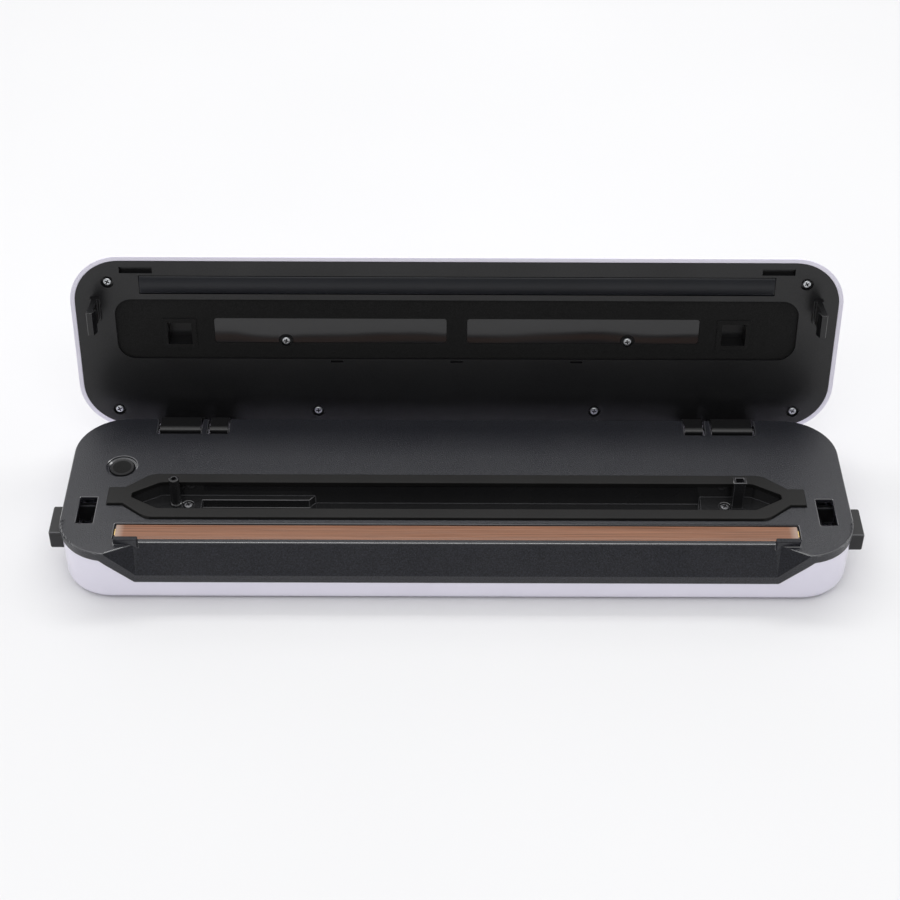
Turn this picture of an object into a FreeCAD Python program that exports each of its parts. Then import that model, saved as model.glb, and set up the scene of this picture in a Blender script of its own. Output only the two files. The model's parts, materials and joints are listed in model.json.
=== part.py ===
import FreeCAD, Part
import math
import os

# Counter-top vacuum sealer with a hinged lid, shown with the lid open.
# Every sub-part is modelled about the seal line: X runs along the machine, Y points to its back,
# Z = 0 is the top face of the deck. The lid is modelled closed and then swung open on its hinge.
# At export everything moves so that the origin is under the middle of the open machine, on the table.

# ---------------------------------------------------------------- driving dimensions, mm
# overall
SEAL_LINE_Y = -50.73           # seal line, from the middle of the open machine
BASE_HALF = 183.0              # half the width of the base
DECK_FRONT = -15.0             # front face of the base
DECK_REAR = 79.0               # rear face of the base
CORNER_R = 24.0                # plan radius of the base's four corners
SHELL_BOTTOM = -29.6           # underside of the moulded base
FOOT_HEIGHT = 1.0              # how far the rubber feet stand below it
WALL = 2.2                     # moulded wall thickness
GAP = 0.3                      # clearance between pieces that move on each other
REVEAL = 0.4                   # how far the white shell stands back from the deck rim

# deck rim and hot-zone ramp
RIM_H = 5.0                    # height of the deck's rim at sides and back
RIM_EDGE_R = 0.7               # rounding of the deck's outer top edge
RAMP_REAR = -7.5               # top edge of the ramp
RAMP_DROP = 13.7               # how far the ramp falls to the front
RAMP_LOW_HALF = 146.6          # half length of the ramp's lower edge
RAMP_TOP_HALF = 145.3          # half length of the ramp's upper edge
FACET_CORNER_X = 147.8         # rear corner of the end facets
FACET_X = 160.8                # where the ramp's end facets run out at the rim
FACET_Y = -9.0
FRONT_RIM_H = 4.6              # height of the rim below the ramp

# hinge
HINGE_Y = 77.8
HINGE_Z = -10.3
LID_SWING = 99.0               # degrees from closed to open
PIN_R = 1.5
KNUCKLE_R = 5.0
WIDE_ARM = (124.5, 144.1)
NARROW_ARM = (111.3, 119.9)
ARM_SIDE_GAP = 0.9
HINGE_POSTS = ((106.6, 110.4), (120.8, 123.6), (145.0, 149.5))
ARM_FRONT = 9.6                # arm block ahead of the axis, lid closed
ARM_BELOW = 8.0                # arm block below the axis, lid closed
ARM_BEHIND = 4.2
ARM_SHOULDER = 2.0             # where the block starts to slope back to its root
ARM_ROOT = 3.2                 # root ahead of the axis, at the liner
ARM_EDGE_R = 2.5
ARM_NOTCH_FRONT = 68.0

# heating bar
TAPE_HALF_W = 4.65
TAPE_HALF_L = 156.4
TAPE_T = 0.2
TAPE_TOP = -0.5
CHANNEL_HALF_W = 5.0
CHANNEL_HALF_L = 157.2
FIN_X = (145.2, 156.2)
FIN_Y = (-9.0, -6.4)
FIN_H = 3.0

# vacuum trough and its gasket, an elongated hexagon with a tab at each end
TROUGH_Y = 22.95
GASKET_OUT_HALF = 14.6
GASKET_IN_HALF = 8.75
GASKET_OUT_BEND = 143.8
GASKET_IN_BEND = 139.0
GASKET_NECK_X = 155.0
GASKET_TIP_X = 151.5
GASKET_TIP_HALF = 1.4
TAB_END_X = 162.4
TAB_HALF = 5.35
GASKET_H = 1.3
GASKET_FLANK = 0.7             # how far the gasket's outer flank spreads at the deck
TRAY_RIM_Z = -1.0
TRAY_MARGIN = 0.8
TRAY_T = 1.6
PLATFORM_Z = -7.8
TROUGH_FLOOR_Z = -12.5
LEFT_PLATFORM_X = -120.0
RIGHT_PLATFORM_X = 115.0
PLATFORM_SLANT = 5.0
SHELF_END_X = -66.0
SHELF_W = 3.3
POST_X = 131.9
POST_Y = 27.0
POST_TOP = 8.0
NOZZLE_R = 2.45
NOZZLE_COLLAR_R = 3.1
VENT_HALF = (2.55, 2.2)        # half width and half depth of the vent post
VENT_LIP = 0.55                # how far its lip stands out at the top
BARB_LOW = -19.5               # lower end of the posts' hose barbs
TRAY_SCREW = (126.3, 25.9)

# latch
SLOT_X = (167.5, 175.4)
SLOT_Y = (5.2, 22.7)
HOOK_Y = (6.9, 18.8)
HOOK_X = (171.8, 174.3)
HOOK_ROOT_X = (170.4, 175.1)
HOOK_REACH = 16.0
BARB_X = 170.5
BARB_AT = 12.0
RELEASE_BLOCK_Y = (4.6, 22.4)
RELEASE_BLOCK_Z = (-15.4, -5.7)
RELEASE_BLOCK_X = 188.6
RELEASE_PEG = (13.4, -10.0)    # Y and Z of the peg that holds the return spring
SPRING_RIB_X = (151.3, 153.3)

# round button on the deck
BUTTON_X = -158.9
BUTTON_Y = 44.2
BUTTON_RECESS_R = 7.15
BUTTON_R = 5.75

# lid, lid closed
LID_GAP = 0.8                  # from the deck to the lid's flat liner
LINER_HALF = 182.5
LINER_FRONT = -12.5
LINER_REAR = 77.6
LINER_R = 22.5
LINER_T = 2.0
LID_RIM = 2.4                  # white rim around the liner
LID_T = 16.5
LID_CROWN_R = 22.4             # large radius that pillows the lid's outer edge
STRIP_HALF_L = 151.3
STRIP_HALF_W = 4.9
STRIP_CROWN = 0.9
LID_SLOT_X = (144.5, 160.1)
LID_SLOT_Y = (-9.4, -6.1)
RECESS_X = 164.0
RECESS_Y = (7.8, 40.2)
RECESS_R = 8.5
RECESS_DEPTH = 1.1
LENS_X = (4.8, 117.0)
LENS_Y = (18.4, 31.9)
LENS_R = 1.5
LENS_BOSS_R = 3.3
PIT_X = 133.7
PIT_Y = 26.8
PIT_HALF = 5.8
PIT_FRAME_HALF = 8.2
PIT_DEPTH = 8.5
LID_SCREWS = ((166.2, -1.4), (166.4, 69.2), (68.2, 69.6))
LID_SCREW_SINK = 1.5           # how deep the screws' heads are seated
LENS_SCREW = (82.6, 30.8)
TICK_X = (-58.3, 0.0, 58.3)
TICK_Y = 41.6
TOP_WINDOW_HALF = 150.0
TOP_WINDOW_Y = (12.0, 39.0)
KEY_X = (-34.0, 0.0, 34.0)
KEY_Y = 49.0
KEY_HALF_L = 9.0
KEY_R = 3.2

# inside the base
FLOOR = SHELL_BOTTOM + WALL
BASE_SCREWS = ((167.0, -2.6), (166.0, 63.0), (78.0, 49.0))
PUMP_Y = 55.5
PUMP_Z = -14.9
MOTOR_R = 12.0
MOTOR_X = (8.0, 40.0)
HEAD_X = (-22.0, 7.0)
HEAD_HALF = 11.7
INLET_X = 84.0
INLET_Z = -21.0

os.makedirs("parts", exist_ok=True)
V = FreeCAD.Vector
X_AXIS = V(1, 0, 0)
Y_AXIS = V(0, 1, 0)
Z_AXIS = V(0, 0, 1)


# ---------------------------------------------------------------- shape helpers
def box(x, y, z):
    """A box from three (low, high) pairs."""
    return Part.makeBox(x[1] - x[0], y[1] - y[0], z[1] - z[0], V(x[0], y[0], z[0]))


def cylinder(radius, start, length, axis=Z_AXIS):
    return Part.makeCylinder(radius, length, V(*start), axis)


def tube(outer, inner, start, length, axis=Z_AXIS):
    return cylinder(outer, start, length, axis).cut(cylinder(inner, start, length, axis))


def prism(points, z):
    """A closed polygon in plan, raised from z[0] to z[1]."""
    corners = [V(px, py, z[0]) for px, py in points]
    face = Part.Face(Part.makePolygon(corners + corners[:1]))
    return face.extrude(V(0, 0, z[1] - z[0]))


def side_prism(points, x):
    """A closed polygon of (y, z) points, drawn out along X from x[0] to x[1]."""
    corners = [V(x[0], py, pz) for py, pz in points]
    face = Part.Face(Part.makePolygon(corners + corners[:1]))
    return face.extrude(V(x[1] - x[0], 0, 0))


def front_prism(points, y):
    """A closed polygon of (x, z) points, drawn out along Y from y[0] to y[1]."""
    corners = [V(px, y[0], pz) for px, pz in points]
    face = Part.Face(Part.makePolygon(corners + corners[:1]))
    return face.extrude(V(0, y[1] - y[0], 0))


def upright_edges(shape):
    return [e for e in shape.Edges if len(e.Vertexes) == 2
            and abs(e.Vertexes[0].X - e.Vertexes[1].X) < 1e-6
            and abs(e.Vertexes[0].Y - e.Vertexes[1].Y) < 1e-6]


def slab(x, y, z, radius):
    """A box whose four upright edges are rounded."""
    solid = box(x, y, z)
    return solid.makeFillet(radius, upright_edges(solid))


def edges_at_z(shape, z):
    return [e for e in shape.Edges if abs(e.BoundBox.ZMin - z) < 1e-4 and abs(e.BoundBox.ZMax - z) < 1e-4]


def mirrored(shape):
    return shape.mirror(V(0, 0, 0), X_AXIS)


def both_sides(shape):
    return [shape, mirrored(shape)]


def joined(shapes):
    result = shapes[0].multiFuse(shapes[1:]) if len(shapes) > 1 else shapes[0]
    return result.removeSplitter()


def coil(radius, wire_r, length, turns, start, axis):
    """A compression spring, with its first turn centred on start and its axis along axis."""
    span = length - 2 * wire_r
    spine = Part.Wire(Part.makeHelix(span / turns, span, radius))
    section = Part.Wire(Part.makeCircle(wire_r, V(radius, 0, 0), Y_AXIS))
    spring = spine.makePipeShell([section], True, True)
    spring.translate(V(0, 0, wire_r))
    spring.Placement = FreeCAD.Placement(V(*start), FreeCAD.Rotation(Z_AXIS, axis)).multiply(spring.Placement)
    return spring


def hose(points, bend_r, outer_r, inner_r):
    """A hose through points: straight runs joined by tangent arcs."""
    edges = []
    last = V(*points[0])
    for i in range(1, len(points) - 1):
        here = V(*points[i])
        back = (V(*points[i - 1]) - here).normalize()
        ahead = (V(*points[i + 1]) - here).normalize()
        half_turn = back.getAngle(ahead) / 2
        trim = bend_r / math.tan(half_turn)
        inward = (back + ahead).normalize()
        centre = here + inward * (bend_r / math.sin(half_turn))
        into = here + back * trim
        out = here + ahead * trim
        edges.append(Part.LineSegment(last, into).toShape())
        edges.append(Part.Arc(into, centre - inward * bend_r, out).toShape())
        last = out
    edges.append(Part.LineSegment(last, V(*points[-1])).toShape())
    spine = Part.Wire(edges)
    heading = (V(*points[1]) - V(*points[0])).normalize()
    skins = [spine.makePipeShell([Part.Wire(Part.makeCircle(r, V(*points[0]), heading))], True, True)
             for r in (outer_r, inner_r)]
    return skins[0].cut(skins[1])


def pan_screw(x, y, under_head_z, length, head_r=2.15, shank_r=1.2, head_h=1.4, down=True):
    """A cross-head screw. Its head is above under_head_z when it is driven down."""
    head = cylinder(head_r, (0, 0, 0), head_h)
    head = head.makeFillet(head_h * 0.45, edges_at_z(head, head_h))
    slot = box((-head_r * 0.62, head_r * 0.62), (-0.3, 0.3), (head_h * 0.45, head_h + 1))
    cross = slot.copy()
    cross.rotate(V(0, 0, 0), Z_AXIS, 90)
    screw = head.cut(slot).cut(cross).fuse(cylinder(shank_r, (0, 0, -length), length))
    if not down:
        screw.rotate(V(0, 0, 0), X_AXIS, 180)
    screw.translate(V(x, y, under_head_z))
    return screw


# ---------------------------------------------------------------- shared outlines
def ramp_wedge(widen, back, down):
    """The corner taken off the deck's front: a steep ramp with a triangular facet at each end."""
    low_z = -RAMP_DROP - down
    low_x = RAMP_LOW_HALF + widen
    top_x = RAMP_TOP_HALF + widen
    facet_x = FACET_X + widen
    corner_x = FACET_CORNER_X + widen
    y_front = DECK_FRONT + back
    right = [V(low_x, y_front, low_z), V(top_x, RAMP_REAR + back, -down), V(facet_x, y_front, -down),
             V(corner_x, FACET_Y + back, -down)]
    low, top, tip, corner = right
    left = [V(-p.x, p.y, p.z) for p in right]
    low_l, top_l, tip_l, corner_l = left

    def face(*points):
        return Part.Face(Part.makePolygon(list(points) + [points[0]]))

    shell = Part.Shell([
        face(top_l, top, low, low_l),
        face(low, top, corner),
        face(low, corner, tip),
        face(low_l, corner_l, top_l),
        face(low_l, tip_l, corner_l),
        face(tip, tip_l, low_l, low),
        face(top_l, corner_l, tip_l, tip, corner, top),
    ])
    wedge = Part.Solid(shell)
    if wedge.Volume < 0:
        wedge.reverse()
    return wedge


def rim_line_zone(y):
    """What lies below the deck's rim, which dips in the middle to pass under the ramp."""
    dip = RAMP_DROP + FRONT_RIM_H
    slope_top = FACET_X + 2.0
    slope_low = RAMP_LOW_HALF + 1.2
    points = [(-200, -RIM_H), (-slope_top, -RIM_H), (-slope_low, -dip), (slope_low, -dip),
              (slope_top, -RIM_H), (200, -RIM_H), (200, -60), (-200, -60)]
    return front_prism(points, y)


def hexagon(half_depth, bend_x, neck_x, neck_half, end_x=None, grow=0.0):
    """Plan outline of the trough family, given for the right-hand end and mirrored."""
    right = [(bend_x, half_depth + grow), (neck_x + grow, neck_half + grow)]
    if end_x:
        right.append((end_x + grow, neck_half + grow))
    lower = [(px, -py) for px, py in reversed(right)]
    right = right + lower
    left = [(-px, py) for px, py in reversed(right)]
    return [(px, py + TROUGH_Y) for px, py in right + left]


def hex_slab(points, z, bend_r):
    """A trough-shaped slab with its four long bends rounded."""
    solid = prism(points, z)
    bends = [e for e in upright_edges(solid) if abs(abs(e.BoundBox.XMin) - abs(points[0][0])) < 0.01]
    return solid.makeFillet(bend_r, bends)


def level_wire(solid, z):
    """Outline of a solid's flat face at one height."""
    level = [f for f in solid.Faces if abs(f.BoundBox.ZMin - z) < 0.001 and abs(f.BoundBox.ZMax - z) < 0.001]
    return level[0].OuterWire


def gasket_outline(grow):
    return hexagon(GASKET_OUT_HALF, GASKET_OUT_BEND, GASKET_NECK_X, TAB_HALF, TAB_END_X, grow)


def tray_outline(grow):
    return hexagon(GASKET_OUT_HALF - 1.6, GASKET_OUT_BEND - 0.6, GASKET_TIP_X + 4.6, GASKET_TIP_HALF + 1.6,
                   grow=grow)


def cavity_outline(grow):
    return hexagon(GASKET_IN_HALF, GASKET_IN_BEND, GASKET_TIP_X, GASKET_TIP_HALF, grow=grow)


def at_hinge(dy, dz):
    return HINGE_Y + dy, HINGE_Z + dz


# ---------------------------------------------------------------- base: casings
def arm_notches():
    """Room for the lid's hinge arms: open to the back, and round where the arms swing."""
    cuts = []
    for low, high in (WIDE_ARM, NARROW_ARM):
        x = (low - ARM_SIDE_GAP, high + ARM_SIDE_GAP)
        cuts += both_sides(box(x, (ARM_NOTCH_FRONT, 95), (HINGE_Z - KNUCKLE_R - 0.1, 1)))
        cuts += both_sides(cylinder(12.1, (x[0], HINGE_Y, HINGE_Z), x[1] - x[0], X_AXIS))
    return cuts


def deck_panel():
    y = (DECK_FRONT, DECK_REAR)
    depth = -RAMP_DROP - FRONT_RIM_H
    outer = slab((-BASE_HALF, BASE_HALF), y, (depth, 0), CORNER_R)
    outer = outer.makeFillet(RIM_EDGE_R, edges_at_z(outer, 0))
    outer = outer.cut(ramp_wedge(0, 0, 0)).cut(rim_line_zone((-40, 100)))
    outer = outer.cut(box((-200, 200), (-CHANNEL_HALF_W - 1.2, 100), (-40, -RIM_H)))
    inner_y = (y[0] + WALL, y[1] - WALL)
    inner = slab((-BASE_HALF + WALL, BASE_HALF - WALL), inner_y, (depth - 5, -WALL), CORNER_R - WALL)
    inner = inner.cut(ramp_wedge(WALL, 1.9, 1.1))
    fin = box(FIN_X, FIN_Y, (-WALL, FIN_H))
    fin = fin.makeFillet(0.4, edges_at_z(fin, FIN_H))
    panel = joined([outer.cut(inner)] + both_sides(fin))
    cuts = [hex_slab(tray_outline(0.2), (-30, 5), 7.0)]
    cuts.append(box((-CHANNEL_HALF_L, CHANNEL_HALF_L), (-CHANNEL_HALF_W, CHANNEL_HALF_W), (-30, 0.01)))
    cuts += both_sides(box(SLOT_X, SLOT_Y, (-30, 5)))
    cuts.append(cylinder(BUTTON_RECESS_R, (BUTTON_X, BUTTON_Y, -1.0), 5))
    cuts.append(cylinder(BUTTON_R + GAP, (BUTTON_X, BUTTON_Y, -10), 20))
    cuts += arm_notches()
    return panel.cut(Part.makeCompound(cuts)).removeSplitter()


def screw_bosses():
    """Tubes under the deck that take the base screws."""
    places = [(s * x, y, -15.8) for x, y in BASE_SCREWS for s in (-1, 1)]
    return Part.makeCompound([tube(3.4, 1.3, place, 15.8 - WALL) for place in places])


def hinge_post(x):
    """One plate that carries the hinge pin, standing on the base's floor."""
    low_y = HINGE_Y - KNUCKLE_R
    plate = box(x, (low_y, DECK_REAR - REVEAL - WALL), (FLOOR, -RIM_H))
    top = box(x, (low_y, DECK_REAR - REVEAL), (HINGE_Z, -RIM_H))
    knuckle = cylinder(KNUCKLE_R, (x[0], HINGE_Y, HINGE_Z), x[1] - x[0], X_AXIS)
    hull = [at_hinge(KNUCKLE_R, 0), at_hinge(0.8, -13.0), at_hinge(-2.0, -13.0), at_hinge(-2.0, 0)]
    return joined([plate, top, knuckle, side_prism(hull, x)])


def hinge_bracket():
    """Right-hand bracket: three posts on a foot plate, reaching out through the rear wall."""
    foot = box((HINGE_POSTS[0][0], HINGE_POSTS[2][1]), (HINGE_Y - KNUCKLE_R, DECK_REAR - REVEAL - WALL - 1.0),
               (FLOOR, FLOOR + 2.0))
    bracket = joined([hinge_post(x) for x in HINGE_POSTS] + [foot])
    pin_length = HINGE_POSTS[2][1] - HINGE_POSTS[0][0] - 0.8
    bore = cylinder(PIN_R, (HINGE_POSTS[0][0] - 1, HINGE_Y, HINGE_Z), pin_length + 1, X_AXIS)
    return bracket.cut(bore)


def mounting_ribs():
    """Screw bosses, motor cradle, spring ribs and button guide that stand on the base's floor."""
    ribs = []
    for x, y in BASE_SCREWS:
        boss = cylinder(3.9, (x, y, FLOOR), -16.0 - FLOOR)
        boss = boss.cut(cylinder(1.7, (x, y, SHELL_BOTTOM), 20)).cut(cylinder(3.0, (x, y, SHELL_BOTTOM), 5.0))
        ribs += both_sides(boss)
    ribs += both_sides(box(SPRING_RIB_X, (9.2, 17.0), (FLOOR, -7.0)))
    motor = cylinder(MOTOR_R, (MOTOR_X[0] - 5, PUMP_Y, PUMP_Z), 50, X_AXIS)
    for x in (MOTOR_X[0] + 6, MOTOR_X[1] - 8):
        ribs.append(box((x, x + 2.5), (PUMP_Y - 13, PUMP_Y + 13), (FLOOR, PUMP_Z)).cut(motor))
    ribs.append(tube(4.2, 3.2, (BUTTON_X, BUTTON_Y, FLOOR), 12.0))
    return Part.makeCompound(ribs)


def base_shell():
    x = BASE_HALF - REVEAL
    y = (DECK_FRONT + REVEAL, DECK_REAR - REVEAL)
    outer = slab((-x, x), y, (SHELL_BOTTOM, -RIM_H), CORNER_R - REVEAL)
    outer = outer.makeFillet(4.0, edges_at_z(outer, SHELL_BOTTOM))
    inner_y = (y[0] + WALL, y[1] - WALL)
    inner = slab((-x + WALL, x - WALL), inner_y, (FLOOR, 5), CORNER_R - REVEAL - WALL)
    inner = inner.makeFillet(1.8, edges_at_z(inner, FLOOR))
    above_rim = box((-200, 200), (-40, 0), (-60, 5)).cut(rim_line_zone((-40, 0)))
    shell = outer.cut(inner).cut(above_rim)
    cuts = both_sides(hinge_bracket()) + both_sides(cylinder(PIN_R, (105, HINGE_Y, HINGE_Z), 44, X_AXIS))
    for sx, sy in BASE_SCREWS:
        cuts += both_sides(cylinder(3.0, (sx, sy, SHELL_BOTTOM - 1), 6.0))
    window = box((175, 190), (RELEASE_BLOCK_Y[0] - GAP, RELEASE_BLOCK_Y[1] + GAP),
                 (RELEASE_BLOCK_Z[0] - GAP, -RIM_H + 1))
    cuts += both_sides(window)
    cuts += arm_notches()
    cuts.append(slab_along_y((INLET_X - 10.0, INLET_X + 10.0), (INLET_Z - 5.0, INLET_Z + 5.0), (70, 90), 3.0))
    cuts += [cylinder(6.0, (fx, fy, SHELL_BOTTOM - 1), 1.4) for fx, fy in foot_places()]
    for i in range(9):
        cuts.append(box((-44 + i * 5, -42 + i * 5), (30, 60), (SHELL_BOTTOM - 1, FLOOR + 1)))
    return shell.cut(Part.makeCompound(cuts)).removeSplitter()


def slab_along_y(x, z, y, radius):
    """A rounded bar along Y: a slab stood on its side."""
    solid = slab((x[0], x[1]), (-z[1], -z[0]), (y[0], y[1]), radius)
    solid.rotate(V(0, 0, 0), X_AXIS, -90)
    return solid


def foot_places():
    return [(sx * 150.0, fy) for sx in (-1, 1) for fy in (2.0, 62.0)]


def rubber_feet():
    feet = []
    for x, y in foot_places():
        foot = cylinder(5.9, (x, y, SHELL_BOTTOM - FOOT_HEIGHT), FOOT_HEIGHT + 0.4)
        feet.append(foot.makeFillet(0.5, edges_at_z(foot, SHELL_BOTTOM - FOOT_HEIGHT)))
    return Part.makeCompound(feet)


def base_screws():
    screws = []
    for x, y in BASE_SCREWS:
        for sx in (-x, x):
            screws.append(pan_screw(sx, y, SHELL_BOTTOM + 5.0, 13.5, 2.6, 1.3, 1.8, down=False))
    return Part.makeCompound(screws)


def hinge_pin(side):
    length = HINGE_POSTS[2][1] - HINGE_POSTS[0][0] - 1.0
    pin = cylinder(PIN_R, (HINGE_POSTS[0][0], HINGE_Y, HINGE_Z), length, X_AXIS)
    return pin if side > 0 else mirrored(pin)


# ---------------------------------------------------------------- base: vacuum trough
def vacuum_trough():
    outer = hex_slab(tray_outline(0.0), (TROUGH_FLOOR_Z - TRAY_T, TRAY_RIM_Z), 7.0)
    trim = hex_slab(cavity_outline(TRAY_MARGIN + TRAY_T), (TROUGH_FLOOR_Z - 5, -4.0), 5.0)
    flange = box((-200, 200), (-40, 80), (-4.0, 0))
    outer = outer.common(joined([trim, flange]))
    cavity = hex_slab(cavity_outline(TRAY_MARGIN), (TROUGH_FLOOR_Z, 5), 4.0)
    left = box((-200, LEFT_PLATFORM_X), (-40, 80), (-40, PLATFORM_Z))
    slant = PLATFORM_SLANT / 2
    right = prism([(RIGHT_PLATFORM_X + slant, 80), (RIGHT_PLATFORM_X - slant, -20), (200, -20), (200, 80)],
                  (-40, PLATFORM_Z))
    rear = TROUGH_Y + GASKET_IN_HALF + TRAY_MARGIN
    shelf = prism([(LEFT_PLATFORM_X - 1, rear - SHELF_W), (SHELF_END_X - 3.5, rear - SHELF_W),
                   (SHELF_END_X, rear + 1), (LEFT_PLATFORM_X - 1, rear + 1)], (-40, PLATFORM_Z))
    tray = outer.cut(cavity.cut(Part.makeCompound([left, right, shelf])))
    for side in (-1, 1):
        tray = tray.cut(cylinder(1.6, (side * TRAY_SCREW[0], TRAY_SCREW[1], -40), 60))
        tray = tray.cut(cylinder(2.7, (side * TRAY_SCREW[0], TRAY_SCREW[1], PLATFORM_Z - 1.2), 20))
    tray = tray.cut(cylinder(NOZZLE_R, (-POST_X, POST_Y, -40), 60))
    tray = tray.cut(vent_column((-40, 20)))
    return tray.removeSplitter()


def suction_nozzle():
    """Round intake that stands above the trough on a collar, with a hose barb below it."""
    post = cylinder(NOZZLE_R, (-POST_X, POST_Y, -15.0), POST_TOP + 15.0)
    post = post.makeFillet(0.5, edges_at_z(post, POST_TOP))
    collar = cylinder(NOZZLE_COLLAR_R, (-POST_X, POST_Y, PLATFORM_Z), 1.0)
    collar = collar.makeFillet(0.4, edges_at_z(collar, PLATFORM_Z + 1.0))
    barb = cylinder(2.0, (-POST_X, POST_Y, BARB_LOW), -14.0 - BARB_LOW)
    return joined([post, collar, barb]).cut(cylinder(1.2, (-POST_X, POST_Y, -30), 60))


def vent_column(z):
    half_x, half_y = VENT_HALF
    return box((POST_X - half_x, POST_X + half_x), (POST_Y - half_y, POST_Y + half_y), z)


def vent_post():
    """Rectangular post over the vent, open at the top, with a hose barb below it."""
    lip_x = VENT_HALF[0] + VENT_LIP
    lip = box((POST_X - lip_x, POST_X + lip_x), (POST_Y - VENT_HALF[1], POST_Y + VENT_HALF[1]),
              (POST_TOP - 1.0, POST_TOP))
    barb = cylinder(2.0, (POST_X, POST_Y, BARB_LOW), -14.0 - BARB_LOW)
    cup = box((POST_X - 1.9, POST_X + 1.9), (POST_Y - 1.4, POST_Y + 1.4), (POST_TOP - 4.0, POST_TOP + 1))
    post = joined([vent_column((-15.0, POST_TOP)), lip, barb])
    return post.cut(cup).cut(cylinder(1.2, (POST_X, POST_Y, -30), 60))


def trough_gasket():
    """Rubber ring with a crowned top and a sloping outer flank, keyed into the tray's rim."""
    foot = level_wire(hex_slab(gasket_outline(GASKET_FLANK), (0, 1), 9.0), 0)
    crown = level_wire(hex_slab(gasket_outline(0.0), (0, GASKET_H), 9.0), GASKET_H)
    ring = Part.makeLoft([foot, crown], True, True)
    key = hex_slab(tray_outline(0.1), (TRAY_RIM_Z, 0), 7.0)
    hole = hex_slab(cavity_outline(0.0), (-5, 5), 3.5)
    return joined([ring, key]).cut(hole)


def trough_screws():
    return Part.makeCompound([pan_screw(s * TRAY_SCREW[0], TRAY_SCREW[1], PLATFORM_Z - 1.2, 8.0, 2.3, 1.2, 1.4)
                              for s in (-1, 1)])


# ---------------------------------------------------------------- base: heating bar
def heater_bar():
    """Heat-proof carrier in the deck's channel, held by a flange below the deck."""
    top = TAPE_TOP - TAPE_T - 0.2
    bar = box((-CHANNEL_HALF_L + 0.2, CHANNEL_HALF_L - 0.2), (-4.7, 4.7), (-8.5, top))
    flange = box((-150, 150), (-5.6, 6.4), (-8.5, -6.0))
    clips = [cylinder(1.0, (x, 0, -12.0), 5.0) for x in (-120, -60, 0, 60, 120)]
    return joined([bar, flange] + clips)


def heating_wire():
    """Flat resistance ribbon along the seal line, turned down at both ends."""
    top = TAPE_TOP - TAPE_T
    ribbon = box((-TAPE_HALF_L + 4.0, TAPE_HALF_L - 4.0), (-1.3, 1.3), (top - 0.2, top))
    return ribbon


def heater_terminals():
    """Sprung brass clips that hold the ribbon's ends tight."""
    top = TAPE_TOP - TAPE_T
    clip = box((TAPE_HALF_L - 4.0, TAPE_HALF_L + 0.4), (-2.0, 2.0), (top - 0.2, top))
    return Part.makeCompound(both_sides(clip))


def sealing_tape():
    """Non-stick glass-cloth tape over the ribbon."""
    x = (-TAPE_HALF_L, TAPE_HALF_L)
    return box(x, (-TAPE_HALF_W, TAPE_HALF_W), (TAPE_TOP - TAPE_T, TAPE_TOP))


# ---------------------------------------------------------------- base: buttons and latch release
def release_button():
    """Right-hand release slider: a frame around the hook with a catch lip on its inner side."""
    block = box((179.0, RELEASE_BLOCK_X), RELEASE_BLOCK_Y, RELEASE_BLOCK_Z)
    outer_edges = [e for e in block.Edges if abs(e.BoundBox.XMin - RELEASE_BLOCK_X) < 1e-4]
    block = block.makeFillet(0.8, outer_edges)
    frame = box((164.0, 179.3), (3.2, 25.0), RELEASE_BLOCK_Z)
    frame = frame.cut(box((167.0, 177.8), (5.0, 22.6), (-20, 0)))
    stop = box((178.5, 180.1), (21.5, 25.0), RELEASE_BLOCK_Z)
    lip_points = [(166.9, -8.4), (169.4, -8.4), (171.2, -9.9), (171.2, -10.9), (166.9, -10.9)]
    lip = front_prism(lip_points, (7.0, 20.6))
    peg = cylinder(1.0, (160.0,) + RELEASE_PEG, 4.0, X_AXIS)
    return joined([block, frame, stop, lip, peg])


def release_spring():
    return coil(1.8, 0.25, 164.0 - SPRING_RIB_X[1], 6, (SPRING_RIB_X[1],) + RELEASE_PEG, X_AXIS)


def deck_button():
    disc = cylinder(BUTTON_R, (BUTTON_X, BUTTON_Y, -4.0), 3.7)
    disc = disc.makeFillet(0.4, edges_at_z(disc, -0.3))
    flange = cylinder(BUTTON_R + 1.1, (BUTTON_X, BUTTON_Y, -4.0), 1.4)
    stem = cylinder(1.5, (BUTTON_X, BUTTON_Y, -9.0), 5.0)
    dish = Part.makeSphere(40.0, V(BUTTON_X, BUTTON_Y, 39.3))
    return joined([disc, flange, stem]).cut(dish)


def deck_button_spring():
    return coil(2.9, 0.3, 11.2, 5, (BUTTON_X, BUTTON_Y, -15.2), Z_AXIS)


# ---------------------------------------------------------------- base: working parts inside
def pump_motor():
    can = cylinder(MOTOR_R, (MOTOR_X[0], PUMP_Y, PUMP_Z), MOTOR_X[1] - MOTOR_X[0], X_AXIS)
    cap = cylinder(MOTOR_R - 1.5, (MOTOR_X[1], PUMP_Y, PUMP_Z), 2.0, X_AXIS)
    boss = cylinder(3.0, (MOTOR_X[0] - 1.0, PUMP_Y, PUMP_Z), 1.0, X_AXIS)
    bore = cylinder(1.06, (MOTOR_X[0] - 2.0, PUMP_Y, PUMP_Z), 12.0, X_AXIS)
    return joined([can, cap, boss]).cut(bore)


def pump_rotor():
    """Motor shaft with the crank that drives the diaphragm, balanced by a half-round weight."""
    shaft = cylinder(1.0, (-8.0, PUMP_Y, PUMP_Z), 25.0, X_AXIS)
    crank = cylinder(4.0, (-7.0, PUMP_Y + 1.6, PUMP_Z), 5.0, X_AXIS)
    weight = cylinder(7.0, (-2.0, PUMP_Y, PUMP_Z), 3.0, X_AXIS)
    weight = weight.cut(box((-5, 5), (PUMP_Y + 1.5, PUMP_Y + 20), (-40, 10)))
    return joined([shaft, crank, weight])


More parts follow.
